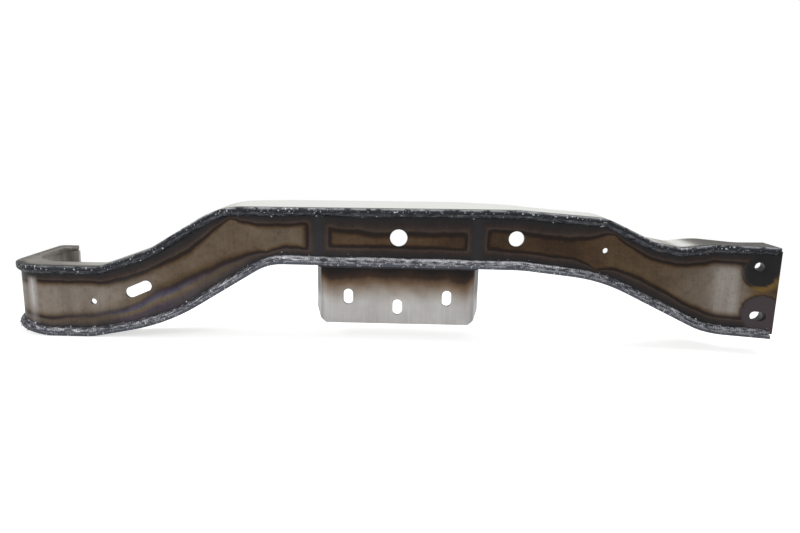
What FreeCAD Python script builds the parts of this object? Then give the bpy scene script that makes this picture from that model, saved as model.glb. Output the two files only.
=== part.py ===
import FreeCAD, Part
import Sketcher
import os

# Fabricated transmission crossmember: bent edge walls, a folded face plate, a folded bracket.
# X runs along the beam, Y from the face plate's front to its back, Z up. Millimetres.
# Drawn about the face plate's front face; Placement moves it to the middle of its footprint.

doc = FreeCAD.newDocument("crossmember")
sheet = doc.addObject("Spreadsheet::Sheet", "Sheet")

# Sheet metal.
PLATE_THICKNESS = 4.76
EDGE_LIP = 5.0
WELD_LEG = 4.4
WELD_BEVEL = 3.0
SMALL_WELD_LEG = 3.6

# Whole beam.
LEFT_END_X = -457.0
RIGHT_END_X = 430.0
CENTRE_X = -2.2
FRONT_BEND_X = 366.0
END_BEND_ANGLE = 15.0
END_BEND_RADIUS = 30.0
LEFT_CORNER_RADIUS = 40.0
HOOK_DEPTH = 132.0
HOOK_CORNER_RADIUS = 12.0
HOOK_RIM_RADIUS = 8.0
RETURN_FLANGE_WIDTH = 26.0
RETURN_FLANGE_LEAN = 7.0

# Upper edge, seen from the front.
UP_FOOT_X = -349.0
UP_FOOT_Z = -8.0
UP_FOOT_RADIUS = 30.0
UP_RISE_X = -291.0
UP_RISE_Z = 13.0
UP_RISE_RADIUS = 120.0
UP_SHOULDER_X = -208.0
UP_SHOULDER_Z = 64.8
UP_SHOULDER_RADIUS = 90.0
UP_CROWN_X = 133.0
UP_CROWN_Z = 68.1
UP_CROWN_RADIUS = 200.0
UP_DROP_X = 235.3
UP_DROP_Z = 61.3
UP_DROP_RADIUS = 60.0
UP_DIP_X = 293.0
UP_DIP_Z = 34.7
UP_DIP_RADIUS = 30.0
UP_HEEL_X = 323.0
UP_HEEL_Z = 29.2
UP_HEEL_RADIUS = 25.0
UP_TOE_X = 358.0
UP_TOE_Z = 33.7
UP_TOE_RADIUS = 30.0
UP_END_Z = 35.6

# Lower edge, seen from the front.
LOW_END_Z = -71.2
LOW_TOE_X = 358.5
LOW_TOE_Z = -71.2
LOW_TOE_RADIUS = 90.0
LOW_DROP_X = 231.7
LOW_DROP_Z = -10.3
LOW_DROP_RADIUS = 190.0
LOW_CROWN_X = 140.0
LOW_CROWN_Z = -0.6
LOW_CROWN_RADIUS = 200.0
LOW_SHOULDER_X = -152.0
LOW_SHOULDER_Z = 0.3
LOW_SHOULDER_RADIUS = 58.0
LOW_RISE_X = -271.6
LOW_RISE_Z = -74.4
LOW_RISE_RADIUS = 240.0
LOW_FOOT_X = -360.0
LOW_FOOT_Z = -91.6
LOW_FOOT_RADIUS = 80.0
LOW_HEEL_X = -412.0
LOW_HEEL_Z = -91.6
LOW_HEEL_RADIUS = 60.0
LEFT_LOW_Z = -76.0

# Depth of the edge walls, seen from above.
END_DEPTH = 20.0
END_ROOT_X = 392.0
END_ROOT_RADIUS = 15.0
RIGHT_DEPTH = 56.0
RIGHT_DEPTH_X = 352.0
RIGHT_DEPTH_RADIUS = 40.0
WAIST_DEPTH = 50.0
WAIST_X = 160.0
WAIST_RADIUS = 80.0
CROWN_DEPTH = 88.0
CROWN_RIGHT_X = 70.0
CROWN_LEFT_X = -140.0
CROWN_RADIUS = 70.0
FOOT_DEPTH = 25.0
FOOT_DEPTH_X = -350.0
FOOT_DEPTH_RADIUS = 120.0
HOOK_STRIP_WIDTH = 14.0
HOOK_ARCH_RADIUS = 48.0
HOOK_INNER_RADIUS = 4.0
WALL_END_SETBACK = 3.5

# Holes in the face plate.
CENTRE_HOLE_Z = 33.1
CENTRE_HOLE_D = 20.0
SIDE_HOLE_X = 133.2
SIDE_HOLE_Z = 35.0
SIDE_HOLE_D = 18.0
RIGHT_PIN_HOLE_X = 236.2
RIGHT_PIN_HOLE_Z = 23.7
RIGHT_PIN_HOLE_D = 6.5
LEFT_PIN_HOLE_X = -358.3
LEFT_PIN_HOLE_Z = -50.2
LEFT_PIN_HOLE_D = 7.0
OVAL_HOLE_X = -305.0
OVAL_HOLE_Z = -34.3
OVAL_HOLE_LENGTH = 33.0
OVAL_HOLE_WIDTH = 12.6
OVAL_HOLE_ANGLE = 24.0

# Right end fixing.
END_BOLT_X = 409.3
END_BOLT_Z = 11.0
END_BOLT_D = 10.4
END_SLOT_X = 413.5
END_SLOT_Z = -46.5
END_SLOT_LENGTH = 17.0
END_SLOT_WIDTH = 10.4
SLEEVE_REACH = 16.5
UPPER_SLEEVE_D = 25.4
LOWER_SLEEVE_X = 410.5
LOWER_SLEEVE_D = 28.6
LOWER_SLEEVE_BORE = 17.6

# Left end fixing.
FRAME_BOLT_D = 10.4
FRAME_BOLT_Y = 84.0
FRAME_BOLT_LOW_Z = -64.0
FRAME_BOLT_SPACING = 38.1

# Ribs.
RIB_HALF_SPACING = 90.6
RIB_DEPTH = 70.0

# Transmission bracket.
BRACKET_SETBACK = 8.0
BRACKET_HALF_WIDTH = 90.0
BRACKET_BEND_RADIUS = 8.0
BRACKET_DEPTH = 58.0
BRACKET_SPLAY = 11.0
BRACKET_DROP = 71.0
BRACKET_CORNER_RUN = 6.0
BRACKET_CORNER_RISE = 4.2
BOLT_SLOT_SPACING = 58.1
BOLT_SLOT_Z = -39.2
MIDDLE_SLOT_Z = -50.9
BOLT_SLOT_LENGTH = 18.7
BOLT_SLOT_WIDTH = 11.0
# Every size above becomes a cell of the sheet, named as here but in small letters.
row = 0
for name, value in list(globals().items()):
    if name.isupper() and isinstance(value, float):
        row += 1
        sheet.set(f"A{row}", name.lower())
        sheet.set(f"B{row}", str(value))
        sheet.setAlias(f"B{row}", name.lower())
doc.recompute()

# How far the drawing planes run past the metal that they trim.
MARGIN = 40.0
MIDDLE_X = "-(Sheet.left_end_x - Sheet.edge_lip + Sheet.right_end_x) / 2"
WALL_END_X = "Sheet.right_end_x - Sheet.wall_end_setback"
FRONT_Y = f"({WALL_END_X} - Sheet.front_bend_x) * tan(Sheet.end_bend_angle) + Sheet.edge_lip"
MIDDLE_Y = f"({FRONT_Y} - Sheet.hook_depth - Sheet.edge_lip) / 2"
FLOOR_Z = "-Sheet.low_foot_z"


def evaluate(expression):
    """Value now of an expression on the sheet's cells."""
    return float(getattr(sheet.evalExpression(expression), "Value", sheet.evalExpression(expression)))


def bind(thing, **expressions):
    """Binds properties of an object to expressions on the sheet."""
    for name, expression in expressions.items():
        thing.setExpression(name.replace("__", "."), expression)
    return thing


def cell(name):
    """A plain alias as an expression; anything longer is one already."""
    return f"Sheet.{name}" if name.isidentifier() else name


def outline(name, corners, upright=False):
    """Closed sketch through corners of (across, up, radius or None), each bound to the sheet.

    The sketch lies in XY, or in XZ when upright, and a corner with a radius is rounded by it.
    """
    sketch = doc.addObject("Sketcher::SketchObject", name)
    if upright:
        turn = FreeCAD.Rotation(FreeCAD.Vector(1, 0, 0), 90)
        sketch.Placement = FreeCAD.Placement(FreeCAD.Vector(), turn)
    points = [FreeCAD.Vector(evaluate(cell(a)), evaluate(cell(b)), 0) for a, b, _ in corners]
    count = len(points)
    for i in range(count):
        sketch.addGeometry(Part.LineSegment(points[i], points[(i + 1) % count]), False)
    for i in range(count):
        sketch.addConstraint(Sketcher.Constraint("Coincident", i, 2, (i + 1) % count, 1))
    for i, (across, up, radius) in enumerate(corners):
        held, end = i, 1
        if radius is not None:
            before = (i - 1) % count
            near = points[i] + (points[before] - points[i]).normalize() * 0.5
            far = points[i] + (points[(i + 1) % count] - points[i]).normalize() * 0.5
            sketch.fillet(before, i, near, far, evaluate(cell(radius)), True, True)
            arc, held, end = sketch.GeometryCount - 2, sketch.GeometryCount - 1, 1
            bend = sketch.addConstraint(Sketcher.Constraint("Radius", arc, evaluate(cell(radius))))
            sketch.setExpression(f"Constraints[{bend}]", cell(radius))
        for kind, size in (("DistanceX", across), ("DistanceY", up)):
            rule = Sketcher.Constraint(kind, -1, 1, held, end, evaluate(cell(size)))
            sketch.setExpression(f"Constraints[{sketch.addConstraint(rule)}]", cell(size))
    return sketch


def grown(name, sketch, amount):
    """The outline moved outwards by an expression, or inwards where it is negative."""
    offset = doc.addObject("Part::Offset2D", name)
    offset.Source = sketch
    offset.Mode = "Pipe"
    offset.Join = "Intersection"
    bind(offset, Value=amount)
    return offset


def prism(name, profile, ahead, behind, upright=False):
    """Solid made by moving a profile along Z, or along Y when upright."""
    solid = doc.addObject("Part::Extrusion", name)
    solid.Base = profile
    solid.DirMode = "Custom"
    solid.Dir = FreeCAD.Vector(0, 1, 0) if upright else FreeCAD.Vector(0, 0, 1)
    solid.Solid = True
    return bind(solid, LengthFwd=cell(ahead), LengthRev=cell(behind))


def cut(name, base, tool):
    """Base with the tool taken away."""
    result = doc.addObject("Part::Cut", name)
    result.Base, result.Tool = base, tool
    return result


def common(name, *parts):
    """What all parts share."""
    result = doc.addObject("Part::MultiCommon", name)
    result.Shapes = list(parts)
    return result


def joined(name, *parts):
    """All parts as one solid."""
    result = doc.addObject("Part::MultiFuse", name)
    result.Shapes = list(parts)
    return result


def rod(name, diameter, length, x, y, z, turn="0"):
    """Cylinder along Y, turned about Z; it starts at x, y, z and runs towards the back."""
    solid = doc.addObject("Part::Cylinder", name)
    bind(solid, Radius=f"{cell(diameter)} / 2", Height=cell(length))
    spot = f"vector({cell(x)}; {cell(y)}; {cell(z)})"
    swing = f"rotation(vector(0; 0; 1); {turn}) * rotation(vector(1; 0; 0); -90)"
    solid.setExpression("Placement", f"placement({spot}; {swing})")
    return solid


def slot_cutter(name, length, width, x, y, z, tilt="0", turn="0"):
    """Round-ended bar along Y; its long side lies along X, tilted in the face and turned about Z."""
    parts = []
    for side, sign in (("Left", "-"), ("Right", "")):
        end = doc.addObject("Part::Cylinder", f"{name}{side}")
        bind(end, Radius=f"{cell(width)} / 2", Height=str(2 * MARGIN))
        bind(end, Placement__Base__x=f"{sign}({cell(length)} - {cell(width)}) / 2")
        bind(end, Placement__Base__z=str(-MARGIN))
        parts.append(end)
    bar = doc.addObject("Part::Box", f"{name}Bar")
    bind(bar, Length=f"{cell(length)} - {cell(width)}", Width=cell(width), Height=str(2 * MARGIN))
    bind(bar, Placement__Base__x=f"-({cell(length)} - {cell(width)}) / 2")
    bind(bar, Placement__Base__y=f"-{cell(width)} / 2", Placement__Base__z=str(-MARGIN))
    cutter = joined(name, bar, *parts)
    spot = f"vector({cell(x)}; {cell(y)}; {cell(z)})"
    swing = (f"rotation(vector(0; 0; 1); {turn}) * rotation(vector(1; 0; 0); 90)"
             f" * rotation(vector(0; 0; 1); {tilt})")
    cutter.setExpression("Placement", f"placement({spot}; {swing})")
    return cutter


# Side view: the outer outline of both edge walls, and the same moved in by one thickness.
PAST_LEFT = f"Sheet.left_end_x - {MARGIN}"
PAST_RIGHT = f"Sheet.right_end_x + {MARGIN}"


def edge_corners(prefix, names):
    """Corners of one edge, in the order given."""
    return [(f"{prefix}_{n}_x", f"{prefix}_{n}_z", f"{prefix}_{n}_radius") for n in names]


upper_names = ["foot", "rise", "shoulder", "crown", "drop", "dip", "heel", "toe"]
lower_names = ["toe", "drop", "crown", "shoulder", "rise", "foot", "heel"]
side_outline = outline("SideOutline", [
    (PAST_LEFT, "up_foot_z", None), *edge_corners("up", upper_names),
    (PAST_RIGHT, "up_end_z", None), (PAST_RIGHT, "low_end_z", None),
    *edge_corners("low", lower_names), (PAST_LEFT, "left_low_z", None)], upright=True)
side_inner = grown("SideInner", side_outline, "-Sheet.plate_thickness")
side_bead = grown("SideBead", side_outline, "-Sheet.plate_thickness - Sheet.weld_leg")
REACH_BACK = f"Sheet.hook_depth + {MARGIN}"
REACH_FRONT = f"{FRONT_Y} + {MARGIN}"
outer_prism = prism("OuterPrism", side_outline, REACH_BACK, REACH_FRONT, upright=True)
inner_prism = prism("InnerPrism", side_inner, REACH_BACK, REACH_FRONT, upright=True)
bead_prism = prism("BeadPrism", side_bead, REACH_BACK, REACH_FRONT, upright=True)

# A line half way between the two edges, to part what belongs to the upper wall.
TOP = f"Sheet.up_crown_z + {MARGIN}"


def between(upper, lower):
    """Height half way between a corner of the upper and one of the lower edge."""
    return f"(Sheet.up_{upper}_z + Sheet.low_{lower}_z) / 2"


upper_half = prism("UpperHalf", outline("UpperHalfOutline", [
    (f"{PAST_LEFT} - 1", TOP, None), (f"{PAST_LEFT} - 1", between("foot", "foot"), None),
    ("(Sheet.up_foot_x + Sheet.low_foot_x) / 2", between("foot", "foot"), None),
    ("(Sheet.up_shoulder_x + Sheet.low_shoulder_x) / 2", between("shoulder", "shoulder"), None),
    ("(Sheet.up_drop_x + Sheet.low_drop_x) / 2", between("drop", "drop"), None),
    ("(Sheet.up_toe_x + Sheet.low_toe_x) / 2", between("toe", "toe"), None),
    (f"{PAST_RIGHT} + 1", between("toe", "toe"), None), (f"{PAST_RIGHT} + 1", TOP, None)],
    upright=True), REACH_BACK, REACH_FRONT, upright=True)

# Plan view of the edge walls: a lip in front, a deep crown behind and a hook round the left end.
END_LIP_Y = f"-({FRONT_Y})"
HOOK_IN_X = "Sheet.left_end_x - Sheet.edge_lip + Sheet.hook_strip_width"
HOOK_BACK_Y = "Sheet.hook_depth + Sheet.edge_lip"
FLANGE_END_X = "Sheet.left_end_x + Sheet.return_flange_width"
HOOK_CAP_Y = "Sheet.hook_depth - Sheet.return_flange_lean - Sheet.plate_thickness"
wall_plan = prism("WallPlan", outline("WallOutline", [
    ("Sheet.left_end_x - Sheet.edge_lip", "-Sheet.edge_lip",
     "Sheet.left_corner_radius + Sheet.edge_lip"),
    ("front_bend_x", "-Sheet.edge_lip", "Sheet.end_bend_radius + Sheet.edge_lip"),
    (WALL_END_X, END_LIP_Y, None), (WALL_END_X, "end_depth", None),
    ("end_root_x", "end_depth", "end_root_radius"),
    ("right_depth_x", "right_depth", "right_depth_radius"),
    ("waist_x", "waist_depth", "waist_radius"), ("crown_right_x", "crown_depth", "crown_radius"),
    ("crown_left_x", "crown_depth", "crown_radius"),
    ("foot_depth_x", "foot_depth", "foot_depth_radius"),
    (HOOK_IN_X, "foot_depth", "hook_arch_radius"), (HOOK_IN_X, HOOK_CAP_Y, "hook_inner_radius"),
    (FLANGE_END_X, HOOK_CAP_Y, None),
    (f"{FLANGE_END_X} - Sheet.return_flange_lean", HOOK_BACK_Y, None),
    ("Sheet.left_end_x - Sheet.edge_lip", HOOK_BACK_Y, "hook_rim_radius")]),
    TOP, f"{FLOOR_Z} + {MARGIN}")
wall_blank = cut("WallBlank", outer_prism, inner_prism)
wall_pair = common("WallPair", wall_blank, wall_plan)
upper_wall = common("upper_wall", wall_pair, upper_half)
lower_wall = cut("lower_wall", wall_pair, upper_half)

# Plan view of the folded face plate: its outer face, moved in by one thickness for the inner.
END_FACE_Y = f"-({PAST_RIGHT} - Sheet.front_bend_x) * tan(Sheet.end_bend_angle)"
FLANGE_END_Y = "Sheet.hook_depth - Sheet.return_flange_lean"
plate_outline = outline("PlateOutline", [
    ("left_end_x", "0", "left_corner_radius"), ("front_bend_x", "0", "end_bend_radius"),
    (PAST_RIGHT, END_FACE_Y, None), (PAST_RIGHT, FLANGE_END_Y, None),
    (FLANGE_END_X, FLANGE_END_Y, None), ("left_end_x", "hook_depth", "hook_corner_radius")])
UP, DOWN = TOP, f"{FLOOR_Z} + {MARGIN}"
plate_outer = prism("PlateOuter", plate_outline, UP, DOWN)
plate_inner = prism("PlateInner", grown("PlateInnerOutline", plate_outline,
                                        "-Sheet.plate_thickness"), UP, DOWN)
plate_ring = cut("PlateRing", plate_outer, plate_inner)
HALF_HOOK = "Sheet.hook_depth / 2"
plate_keep = prism("PlateKeep", outline("PlateKeepOutline", [
    (PAST_LEFT, f"-({FRONT_Y}) - {MARGIN}", None), ("right_end_x", f"-({FRONT_Y}) - {MARGIN}", None),
    ("right_end_x", HALF_HOOK, None), (FLANGE_END_X, HALF_HOOK, None),
    (FLANGE_END_X, f"Sheet.hook_depth + {MARGIN}", None),
    (PAST_LEFT, f"Sheet.hook_depth + {MARGIN}", None)]), UP, DOWN)
plate_blank = common("PlateBlank", plate_ring, plate_keep, inner_prism)

# Holes. Those past the front bend are square to the turned end.
END_TURN = "-Sheet.end_bend_angle"
THROUGH = str(2 * MARGIN)


def face_y(x):
    """Y of the plate's front face on the turned end."""
    return f"-({cell(x)} - Sheet.front_bend_x) * tan(Sheet.end_bend_angle)"


def behind_face(x, amount):
    """Place that lies an amount behind the turned face, from the point at x, as x and y."""
    depth = cell(amount)
    return (f"{cell(x)} + {depth} * sin(Sheet.end_bend_angle)",
            f"{face_y(x)} + {depth} * cos(Sheet.end_bend_angle)")


def end_rod(name, diameter, length, x, z, amount):
    """Rod on the turned end's normal, starting an amount behind its front face."""
    at_x, at_y = behind_face(x, amount)
    return rod(name, diameter, length, at_x, at_y, z, END_TURN)


hole_tools = joined(
    "HoleTools",
    rod("CentreHole", "centre_hole_d", THROUGH, "centre_x", str(-MARGIN), "centre_hole_z"),
    rod("SideHole", "side_hole_d", THROUGH, "side_hole_x", str(-MARGIN), "side_hole_z"),
    rod("RightPinHole", "right_pin_hole_d", THROUGH, "right_pin_hole_x", str(-MARGIN),
        "right_pin_hole_z"),
    rod("LeftPinHole", "left_pin_hole_d", THROUGH, "left_pin_hole_x", str(-MARGIN),
        "left_pin_hole_z"),
    slot_cutter("OvalHole", "oval_hole_length", "oval_hole_width", "oval_hole_x", "0",
                "oval_hole_z", tilt="Sheet.oval_hole_angle"),
    end_rod("EndBoltHole", "end_bolt_d", THROUGH, "end_bolt_x", "end_bolt_z", str(-MARGIN)),
    slot_cutter("EndSlot", "end_slot_length", "end_slot_width", "end_slot_x",
                face_y("end_slot_x"), "end_slot_z", turn=END_TURN))
frame_bolts = []
for name, steps in (("FrameBoltLow", "0"), ("FrameBoltHigh", "1")):
    bolt = doc.addObject("Part::Cylinder", name)
    bind(bolt, Radius="Sheet.frame_bolt_d / 2", Height=THROUGH)
    height = f"Sheet.frame_bolt_low_z + {steps} * Sheet.frame_bolt_spacing"
    spot = f"vector(Sheet.left_end_x - {MARGIN}; Sheet.frame_bolt_y; {height})"
    bolt.setExpression("Placement", f"placement({spot}; rotation(vector(0; 1; 0); 90))")
    frame_bolts.append(bolt)
face_plate = cut("face_plate", plate_blank, joined("PlateTools", hole_tools, *frame_bolts))

# Front fillet welds, in the corner between the plate's face and each wall's lip.
bead_side = cut("BeadSide", inner_prism, bead_prism)
bead_plan = cut("BeadPlan", prism("BeadPlanOuter", grown("BeadPlanOutline", plate_outline,
                                                         "Sheet.weld_leg"), UP, DOWN), plate_outer)
bead_pair = common("BeadPair", bead_side, bead_plan, wall_plan, plate_keep)


def free_edges(shape):
    """Edges of a square bead that lie one leg from the wall and one leg from the plate."""
    found = []
    for edge in shape.Edges:
        middle = Part.Vertex(edge.valueAt((edge.FirstParameter + edge.LastParameter) / 2))
        from_wall = middle.distToShape(bead_prism.Shape.Shells[0])[0]
        from_plate = middle.distToShape(bead_plan.Base.Shape.Shells[0])[0]
        if from_wall < 1e-3 and from_plate < 1e-3:
            found.append(edge)
    return found


def bevelled(name, square):
    """The bead with its free corner taken off, as a fillet weld has it."""
    doc.recompute()
    weld = doc.addObject("Part::Feature", name)
    weld.Shape = square.Shape.makeChamfer(evaluate("Sheet.weld_bevel"), free_edges(square.Shape))
    return weld


upper_front_weld = bevelled("upper_front_weld", common("UpperBead", bead_pair, upper_half))
lower_front_weld = bevelled("lower_front_weld", cut("LowerBead", bead_pair, upper_half))


# Ribs behind the face plate, in line with the bracket's flanges.
def rib(name, side):
    """Upright stiffener between the two walls; side is -1 on the left and 1 on the right."""
    blank = doc.addObject("Part::Box", f"{name}_blank")
    bind(blank, Length="Sheet.plate_thickness", Width="Sheet.rib_depth - Sheet.plate_thickness",
         Height=f"{UP} + {DOWN}")
    middle = f"Sheet.centre_x + {side} * Sheet.rib_half_spacing"
    bind(blank, Placement__Base__x=f"{middle} - Sheet.plate_thickness / 2",
         Placement__Base__y="Sheet.plate_thickness", Placement__Base__z=f"-({DOWN})")
    return common(name, blank, inner_prism)


left_rib = rib("left_rib", -1)
right_rib = rib("right_rib", 1)


def rib_weld(name, side):
    """Pair of fillet welds that hold a rib to the face plate, one on each of its faces."""
    strips = []
    middle = f"(Sheet.centre_x + {side} * Sheet.rib_half_spacing)"
    for label, way in (("near", -1), ("far", 1)):
        root = f"{middle} + {way} * Sheet.plate_thickness / 2"
        tip = f"{root} + {way} * Sheet.small_weld_leg"
        strips.append(prism(f"{name}_{label}", outline(f"{name}_{label}_outline", [
            (root, "plate_thickness", None), (tip, "plate_thickness", None),
            (root, "Sheet.plate_thickness + Sheet.small_weld_leg", None)]), UP, DOWN))
    pair = doc.addObject("Part::Compound", f"{name}_pair")
    pair.Links = strips
    return common(name, pair, inner_prism)


left_rib_weld = rib_weld("left_rib_weld", -1)
right_rib_weld = rib_weld("right_rib_weld", 1)

# Transmission bracket: a folded channel under the lower wall, open at the back.
LEFT_EDGE = "Sheet.centre_x - Sheet.bracket_half_width"
RIGHT_EDGE = "Sheet.centre_x + Sheet.bracket_half_width"
FLARE = "(Sheet.bracket_depth + Sheet.plate_thickness) * tan(Sheet.bracket_splay)"
BACK_Y = "Sheet.bracket_setback + Sheet.bracket_depth + Sheet.plate_thickness"
channel_outline = outline("ChannelOutline", [
    (LEFT_EDGE, "bracket_setback", "bracket_bend_radius"),
    (RIGHT_EDGE, "bracket_setback", "bracket_bend_radius"),
    (f"{RIGHT_EDGE} + {FLARE}", BACK_Y, None), (f"{LEFT_EDGE} - {FLARE}", BACK_Y, None)])
channel_ring = cut("ChannelRing", prism("ChannelOuter", channel_outline, "10", "bracket_drop"),
                   prism("ChannelInner", grown("ChannelInnerOutline", channel_outline,
                                               "-Sheet.plate_thickness"), "10", "bracket_drop"))
channel_back = doc.addObject("Part::Box", "ChannelBack")
bind(channel_back, Length="4 * Sheet.bracket_half_width", Width=THROUGH,
     Height="Sheet.bracket_drop + 20", Placement__Base__x="Sheet.centre_x - 2 * Sheet.bracket_half_width",
     Placement__Base__y="Sheet.bracket_setback + Sheet.bracket_depth",
     Placement__Base__z="-Sheet.bracket_drop - 5")
slot_tools = []
for name, steps, height in (("LeftSlot", "-1", "bolt_slot_z"), ("MiddleSlot", "0", "middle_slot_z"),
                            ("RightSlot", "1", "bolt_slot_z")):
    slot_tools.append(slot_cutter(name, "bolt_slot_length", "bolt_slot_width",
                                  f"Sheet.centre_x + {steps} * Sheet.bolt_slot_spacing",
                                  "bracket_setback", height, tilt="90"))
for name, side in (("LeftCorner", "-1"), ("RightCorner", "1")):
    start = f"Sheet.centre_x + {side} * (Sheet.bracket_half_width - Sheet.bracket_corner_run)"
    edge = f"Sheet.centre_x + {side} * Sheet.bracket_half_width"
    far = f"Sheet.centre_x + {side} * 2 * Sheet.bracket_half_width"
    rise = "-Sheet.bracket_drop + Sheet.bracket_corner_rise"
    slot_tools.append(prism(name, outline(f"{name}Outline", [
        (start, "-Sheet.bracket_drop", None), (edge, rise, None), (far, rise, None),
        (far, "-Sheet.bracket_drop - 5", None), (start, "-Sheet.bracket_drop - 5", None)],
        upright=True), REACH_BACK, REACH_FRONT, upright=True))
transmission_bracket = cut("transmission_bracket", channel_ring,
                           joined("BracketTools", channel_back, outer_prism, *slot_tools))


# Sleeves behind the right end's bolt holes.
def sleeve(name, diameter, bore, x, z):
    """Spacer tube on the plate's back, square to the turned end."""
    body = end_rod(f"{name}_body", diameter, "sleeve_reach", x, z, "plate_thickness")
    hole = end_rod(f"{name}_bore", bore, THROUGH, x, z, "0")
    return common(name, cut(f"{name}_tube", body, hole), inner_prism)


upper_sleeve = sleeve("upper_end_sleeve", "upper_sleeve_d", "end_bolt_d", "end_bolt_x", "end_bolt_z")
lower_sleeve = sleeve("lower_end_sleeve", "lower_sleeve_d", "lower_sleeve_bore", "lower_sleeve_x",
                      "end_slot_z")


def sleeve_weld(name, diameter, x, z):
    """Fillet weld round the foot of a sleeve, on the back of the face plate."""
    ring = doc.addObject("Part::Cone", f"{name}_cone")
    bind(ring, Radius1=f"{cell(diameter)} / 2 + Sheet.small_weld_leg",
         Radius2=f"{cell(diameter)} / 2", Height="Sheet.small_weld_leg")
    at_x, at_y = behind_face(x, "plate_thickness")
    swing = f"rotation(vector(0; 0; 1); {END_TURN}) * rotation(vector(1; 0; 0); -90)"
    ring.setExpression("Placement", f"placement(vector({at_x}; {at_y}; {cell(z)}); {swing})")
    core = end_rod(f"{name}_core", diameter, THROUGH, x, z, "0")
    return common(name, cut(f"{name}_ring", ring, core), inner_prism, plate_keep)


upper_sleeve_weld = sleeve_weld("upper_sleeve_weld", "upper_sleeve_d", "end_bolt_x", "end_bolt_z")
lower_sleeve_weld = sleeve_weld("lower_sleeve_weld", "lower_sleeve_d", "lower_sleeve_x",
                                "end_slot_z")

# Welds between the bracket and the underside of the lower wall.
weld_zone = doc.addObject("Part::Box", "BracketWeldZone")
bind(weld_zone, Length="4 * Sheet.bracket_half_width", Width=THROUGH,
     Height="Sheet.small_weld_leg + 10",
     Placement__Base__x="Sheet.centre_x - 2 * Sheet.bracket_half_width",
     Placement__Base__y="Sheet.bracket_setback - Sheet.small_weld_leg",
     Placement__Base__z="(Sheet.low_crown_z + Sheet.low_shoulder_z) / 2 - Sheet.small_weld_leg")
weld_outline = grown("BracketWeldOutline", channel_outline, "Sheet.small_weld_leg")
weld_ring = cut("BracketWeldRing", prism("BracketWeldOuter", weld_outline, "10", "bracket_drop"),
                doc.getObject("ChannelOuter"))
weld_band = cut("BracketWeldBand", common("BracketWeldCommon", weld_ring, weld_zone),
                joined("BracketWeldTools", outer_prism, channel_back))


def weld_part(name, from_x, to_x, front):
    """Stretch of the bracket's weld between two X values, in front of or behind the bend."""
    window = doc.addObject("Part::Box", f"{name}_window")
    bind(window, Length=f"({to_x}) - ({from_x})", Width=THROUGH, Height=THROUGH,
         Placement__Base__x=from_x, Placement__Base__z=str(-MARGIN))
    bend = "Sheet.bracket_setback + Sheet.bracket_bend_radius"
    bind(window, Placement__Base__y=f"{bend} - {THROUGH}" if front else bend)
    return common(name, weld_band, window)


FAR = "2 * Sheet.bracket_half_width"
bracket_front_weld = weld_part("bracket_front_weld", f"Sheet.centre_x - {FAR}",
                               f"Sheet.centre_x + {FAR}", True)
bracket_left_weld = weld_part("bracket_left_weld", f"Sheet.centre_x - {FAR}", "Sheet.centre_x",
                              False)
bracket_right_weld = weld_part("bracket_right_weld", "Sheet.centre_x", f"Sheet.centre_x + {FAR}",
                               False)

NODES = [
    face_plate, upper_wall, lower_wall, left_rib, right_rib, transmission_bracket,
    upper_sleeve, lower_sleeve, upper_front_weld, lower_front_weld, left_rib_weld,
    right_rib_weld, upper_sleeve_weld, lower_sleeve_weld, bracket_front_weld,
    bracket_left_weld, bracket_right_weld]
for node in NODES:
    node.Label = node.Name
    bind(node, Placement__Base__x=MIDDLE_X, Placement__Base__y=MIDDLE_Y, Placement__Base__z=FLOOR_Z)
doc.recompute()

for thing in doc.Objects:
    assert not {"Invalid", "Error"} & set(thing.State), f"{thing.Name} {thing.State}"
os.makedirs("parts", exist_ok=True)
for node in NODES:
    assert not node.Shape.isNull() and node.Shape.isValid() and node.Shape.Solids, node.Name
    node.Shape.exportStep(f"parts/{node.Label}.step")
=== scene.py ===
import math
import random
import bmesh
import bpy
from mathutils import Matrix, Vector, noise
from mathutils.bvhtree import BVHTree
from mathutils.kdtree import KDTree


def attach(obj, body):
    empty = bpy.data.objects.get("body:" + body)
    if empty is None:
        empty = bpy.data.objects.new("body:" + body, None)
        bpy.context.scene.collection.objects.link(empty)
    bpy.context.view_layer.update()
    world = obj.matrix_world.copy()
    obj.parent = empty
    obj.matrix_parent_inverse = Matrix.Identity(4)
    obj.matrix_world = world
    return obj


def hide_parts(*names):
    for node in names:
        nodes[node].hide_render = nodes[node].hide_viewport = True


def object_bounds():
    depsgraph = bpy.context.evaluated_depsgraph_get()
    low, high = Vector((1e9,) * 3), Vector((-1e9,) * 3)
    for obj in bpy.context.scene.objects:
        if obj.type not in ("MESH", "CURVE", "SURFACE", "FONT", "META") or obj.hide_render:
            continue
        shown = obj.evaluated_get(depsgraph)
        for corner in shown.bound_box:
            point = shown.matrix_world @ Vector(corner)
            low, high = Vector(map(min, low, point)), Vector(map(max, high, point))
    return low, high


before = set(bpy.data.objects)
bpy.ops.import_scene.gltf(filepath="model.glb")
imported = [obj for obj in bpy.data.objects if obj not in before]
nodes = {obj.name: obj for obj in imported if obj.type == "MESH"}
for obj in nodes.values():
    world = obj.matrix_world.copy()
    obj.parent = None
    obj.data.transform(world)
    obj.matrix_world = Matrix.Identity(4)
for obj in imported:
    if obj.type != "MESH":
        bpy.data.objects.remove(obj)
cad_low, cad_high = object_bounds()

# The middle of the face plate's front, at the level of the lower wall's underside.
DATUM = Vector((0.016, -0.0578945, 0.0916))
CAMERA_LENS = 29.7
CAMERA_DISTANCE = 0.764
CAMERA_DIP = math.atan(0.2)
CAMERA_ROLL = 0.0227
LAMP_AIM = Vector((0.0, 0.0, 0.05))

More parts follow.
